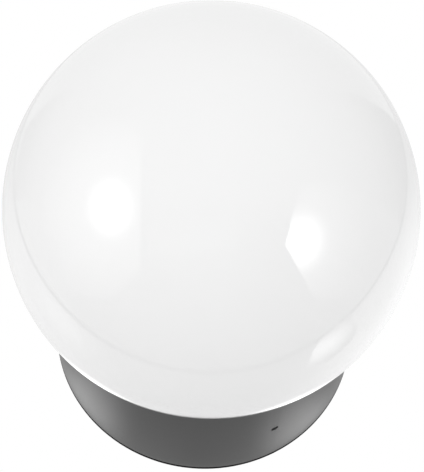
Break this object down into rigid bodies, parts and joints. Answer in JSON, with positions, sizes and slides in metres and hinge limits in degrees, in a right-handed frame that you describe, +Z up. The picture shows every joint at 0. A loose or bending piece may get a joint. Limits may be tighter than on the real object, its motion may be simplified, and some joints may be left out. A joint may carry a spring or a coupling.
{
  "type": "outdoor wall light",
  "caption": "Opal glass globe on a round metal base that fixes to a wall, with a screw-cap lamp inside.",
  "frame": {"origin": "centre of the flat back face that lies on the wall", "axes": "+Z up, +Y into the wall, the globe stands out of the wall along -Y"},
  "size_m": [0.2, 0.251, 0.2],
  "materials": {
    "opal_glass": "glossy opal white",
    "graphite_coating": "satin fine powder coat",
    "black_rubber": "matte",
    "silicone": "satin",
    "zinc_steel": "zinc plated sheet",
    "plated_screw": "bright zinc",
    "stainless": "stainless",
    "porcelain": "glazed white",
    "brass": "bright",
    "nylon": "natural white",
    "brown_wire": "satin",
    "blue_wire": "satin",
    "earth_wire_cover": "green and yellow",
    "black_glaze": "black glass",
    "cap_metal": "nickel plated",
    "lamp_plastic": "satin white",
    "lamp_frost": "frosted white",
    "board_white": "white solder mask",
    "board_green": "green solder mask"
  },
  "bodies": {
    "wall_base": {"mounting_plate": "zinc_steel", "cable_grommet": "black_rubber", "lampholder_bracket": "zinc_steel", "bracket_screws": "plated_screw", "lampholder_body": "porcelain", "lampholder_screws": "plated_screw", "lampholder_sleeve": "brass", "centre_contact": "brass", "side_contact": "brass", "contact_screws": "brass", "terminal_block": "nylon", "terminal_inserts": "brass", "clamp_screws": "plated_screw", "terminal_block_screw": "plated_screw", "earth_lug": "brass", "earth_washer": "plated_screw", "earth_screw": "plated_screw", "live_wire": "brown_wire", "neutral_wire": "blue_wire", "earth_wire": "earth_wire_cover"},
    "housing": {"housing": "graphite_coating", "wall_gasket": "black_rubber"},
    "globe_seal": {"globe_seal": "silicone"},
    "globe": {"globe": "opal_glass"},
    "lamp_tip": {"lamp_contact": "brass", "lamp_insulator": "black_glaze"},
    "lamp": {"lamp_cap": "cap_metal", "lamp_body": "lamp_plastic", "lamp_diffuser": "lamp_frost", "led_board": "board_white", "driver_board": "board_green"},
    "screw_pad_1": {"screw_pad_1": "nylon"},
    "housing_screw_1": {"housing_screw_1": "stainless"},
    "screw_pad_2": {"screw_pad_2": "nylon"},
    "housing_screw_2": {"housing_screw_2": "stainless"},
    "screw_pad_3": {"screw_pad_3": "nylon"},
    "housing_screw_3": {"housing_screw_3": "stainless"}
  },
  "joints": [
    {"name": "housing_pull", "type": "slide", "parent": "wall_base", "child": "housing", "axis": [0, -1, 0], "range_m": [0, 0.165]},
    {"name": "globe_rise", "type": "slide", "parent": "housing", "child": "globe_seal", "axis": [0, -1, 0], "range_m": [0, 0.0121]},
    {"name": "globe_turn", "type": "hinge", "parent": "globe_seal", "child": "globe", "pos_m": [0, -0.151, 0], "axis": [0, -1, 0], "range_deg": [0, 540]},
    {"name": "lamp_rise", "type": "slide", "parent": "wall_base", "child": "lamp_tip", "axis": [0, -1, 0], "range_m": [0, 0.0219]},
    {"name": "lamp_turn", "type": "hinge", "parent": "lamp_tip", "child": "lamp", "pos_m": [0, -0.1, 0], "axis": [0, -1, 0], "range_deg": [0, 2160]},
    {"name": "screw_travel_1", "type": "slide", "parent": "housing", "child": "screw_pad_1", "axis": [0.454, 0, -0.891], "range_m": [0, 0.0021]},
    {"name": "screw_turn_1", "type": "hinge", "parent": "screw_pad_1", "child": "housing_screw_1", "pos_m": [0.03291, -0.03798, -0.0646], "axis": [0.454, 0, -0.891], "range_deg": [0, 1081]},
    {"name": "screw_travel_2", "type": "slide", "parent": "housing", "child": "screw_pad_2", "axis": [0.5446, 0, 0.8387], "range_m": [0, 0.0021]},
    {"name": "screw_turn_2", "type": "hinge", "parent": "screw_pad_2", "child": "housing_screw_2", "pos_m": [0.03949, -0.03798, 0.0608], "axis": [0.5446, 0, 0.8387], "range_deg": [0, 1081]},
    {"name": "screw_travel_3", "type": "slide", "parent": "housing", "child": "screw_pad_3", "axis": [-0.9986, 0, 0.0523], "range_m": [0, 0.0021]},
    {"name": "screw_turn_3", "type": "hinge", "parent": "screw_pad_3", "child": "housing_screw_3", "pos_m": [-0.0724, -0.03798, 0.00379], "axis": [-0.9986, 0, 0.0523], "range_deg": [0, 1081]}
  ],
  "couplings": [
    {"joint": "globe_rise", "follows": "globe_turn", "m_per_rad": 0.0012732},
    {"joint": "lamp_rise", "follows": "lamp_turn", "m_per_rad": 0.00057757},
    {"joint": "screw_turn_1", "follows": "screw_travel_1", "rad_per_m": 8976},
    {"joint": "screw_turn_2", "follows": "screw_travel_2", "rad_per_m": 8976},
    {"joint": "screw_turn_3", "follows": "screw_travel_3", "rad_per_m": 8976}
  ]
}
